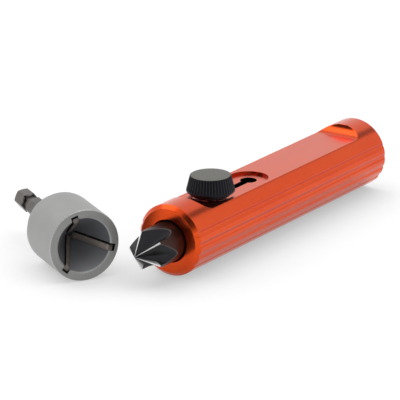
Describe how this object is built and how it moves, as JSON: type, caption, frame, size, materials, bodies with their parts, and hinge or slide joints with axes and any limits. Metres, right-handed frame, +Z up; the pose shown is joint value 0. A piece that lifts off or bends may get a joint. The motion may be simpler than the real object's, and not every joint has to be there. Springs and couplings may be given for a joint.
{
  "type": "deburring tool",
  "caption": "Hand deburring tool: fluted anodised handle with a retractable countersink locked by a knurled knob, and a bladed outside-deburring cup on a hex shank.",
  "frame": {"origin": "centre of the handle's rear end face, on the handle's axis", "axes": "+X out of the rear end along the handle's axis, so the bit points along -X; +Z up out of the flat that carries the knob"},
  "size_m": [0.1498, 0.0846, 0.0295],
  "materials": {
    "orange_anodised": "glossy orange-red anodised aluminium",
    "black_anodised": "satin black anodised aluminium",
    "carrier_steel": "turned steel, black oxide, lightly oiled",
    "socket_steel": "hardened steel, dark satin",
    "screw_steel": "black oxide screw steel",
    "bush_brass": "machined brass",
    "magnet_nickel": "nickel-plated magnet",
    "spring_steel": "bright spring steel",
    "knob_black": "moulded black plastic, matt",
    "stud_steel": "zinc-plated steel",
    "bit_black_oxide": "black oxide high-speed steel with ground edges",
    "cup_grey": "matt grey plated steel",
    "shank_steel": "hardened steel, dark grey",
    "blade_steel": "hardened blade steel, brownish",
    "seal_rubber": "black nitrile rubber"
  },
  "bodies": {
    "handle": {"handle_body": "orange_anodised", "end_plug": "black_anodised", "plug_o_ring": "seal_rubber"},
    "carrier": {"slide_carrier": "carrier_steel", "bit_socket": "socket_steel", "socket_set_screw": "screw_steel", "thread_bush": "bush_brass", "socket_magnet": "magnet_nickel", "bit_retaining_ring": "spring_steel"},
    "collar": {"locating_collar": "screw_steel", "spring_washer": "spring_steel"},
    "knob": {"knob": "knob_black", "knob_stud": "stud_steel", "collar_clip": "spring_steel"},
    "bit": {"countersink_bit": "bit_black_oxide"},
    "cup": {"cup_body": "cup_grey", "cup_shank": "shank_steel", "cup_blade_1": "blade_steel", "cup_blade_2": "blade_steel", "cup_blade_3": "blade_steel"}
  },
  "joints": [
    {"name": "carrier_slide", "type": "slide", "parent": "handle", "child": "carrier", "axis": [1, 0, 0], "range_m": [0, 0.0234]},
    {"name": "knob_lift", "type": "slide", "parent": "carrier", "child": "collar", "axis": [0, 0, 1], "range_m": [-0.00125, 0.0008]},
    {"name": "knob_turn", "type": "hinge", "parent": "collar", "child": "knob", "pos_m": [-0.09435, 0, 0.0108], "axis": [0, 0, 1], "range_deg": [-1000.5, 640.5]},
    {"name": "bit_pull", "type": "slide", "parent": "carrier", "child": "bit", "axis": [-1, 0, 0], "range_m": [0, 0.055]},
    {"name": "cup_lift", "type": "slide", "parent": "handle", "child": "cup", "axis": [0, 0, 1], "range_m": [0, 0.06]}
  ],
  "couplings": [
    {"joint": "knob_turn", "follows": "knob_lift", "rad_per_m": 13963}
  ]
}
